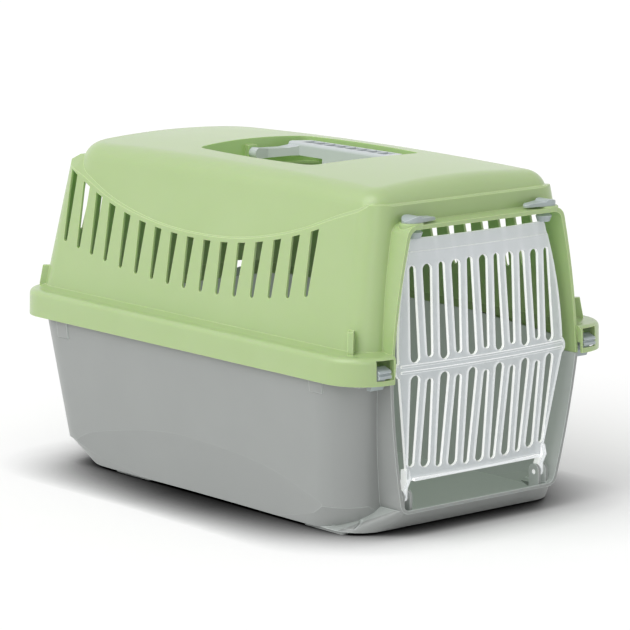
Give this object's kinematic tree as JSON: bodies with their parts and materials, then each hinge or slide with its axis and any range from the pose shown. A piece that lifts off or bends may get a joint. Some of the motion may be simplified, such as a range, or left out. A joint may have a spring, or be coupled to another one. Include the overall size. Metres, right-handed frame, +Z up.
{
  "type": "pet carrier",
  "caption": "Small plastic pet carrier: green vented top with a fold-down handle on a grey tray, see-through slotted front door, turning door latches and corner clips.",
  "frame": {"origin": "centre of the carrier's footprint on the floor", "axes": "+Z up, +Y from the door to the rear wall, +X to the right seen from the door's side"},
  "size_m": [0.282, 0.455, 0.2825],
  "materials": {
    "green_shell": "satin",
    "grey_tray": "satin",
    "clear_door": "gloss",
    "grey_fitting": "satin"
  },
  "bodies": {
    "carrier": {"base_tray": "grey_tray", "top_shell": "green_shell"},
    "door_body": {"door": "clear_door"},
    "handle_body": {"handle": "grey_fitting"},
    "latch_left_body": {"door_latch_left": "grey_fitting"},
    "latch_right_body": {"door_latch_right": "grey_fitting"},
    "clip_front_left_body": {"corner_clip_front_left": "grey_fitting"},
    "clip_front_right_body": {"corner_clip_front_right": "grey_fitting"},
    "clip_rear_left_body": {"corner_clip_rear_left": "grey_fitting"},
    "clip_rear_right_body": {"corner_clip_rear_right": "grey_fitting"}
  },
  "joints": [
    {"name": "door_hinge", "type": "hinge", "parent": "carrier", "child": "door_body", "pos_m": [0, -0.206, 0.031], "axis": [1, 0, 0], "range_deg": [0, 95]},
    {"name": "handle_swing", "type": "hinge", "parent": "carrier", "child": "handle_body", "pos_m": [0, -0.003, 0.271], "axis": [0, -1, 0], "range_deg": [0, 180]},
    {"name": "latch_left_turn", "type": "hinge", "parent": "carrier", "child": "latch_left_body", "pos_m": [-0.0695, -0.213, 0.2512], "axis": [0, 0, -1], "range_deg": [0, 90]},
    {"name": "latch_right_turn", "type": "hinge", "parent": "carrier", "child": "latch_right_body", "pos_m": [0.0695, -0.213, 0.2512], "axis": [0, 0, 1], "range_deg": [0, 90]},
    {"name": "clip_front_left_flex", "type": "hinge", "parent": "carrier", "child": "clip_front_left_body", "pos_m": [-0.1105, -0.2121, 0.1312], "axis": [-1, 0, 0], "range_deg": [0, 5], "stiffness_Nm_per_rad": 0.6},
    {"name": "clip_front_right_flex", "type": "hinge", "parent": "carrier", "child": "clip_front_right_body", "pos_m": [0.1105, -0.2121, 0.1312], "axis": [-1, 0, 0], "range_deg": [0, 5], "stiffness_Nm_per_rad": 0.6},
    {"name": "clip_rear_left_flex", "type": "hinge", "parent": "carrier", "child": "clip_rear_left_body", "pos_m": [-0.1105, 0.2121, 0.1312], "axis": [1, 0, 0], "range_deg": [0, 5], "stiffness_Nm_per_rad": 0.6},
    {"name": "clip_rear_right_flex", "type": "hinge", "parent": "carrier", "child": "clip_rear_right_body", "pos_m": [0.1105, 0.2121, 0.1312], "axis": [1, 0, 0], "range_deg": [0, 5], "stiffness_Nm_per_rad": 0.6}
  ]
}
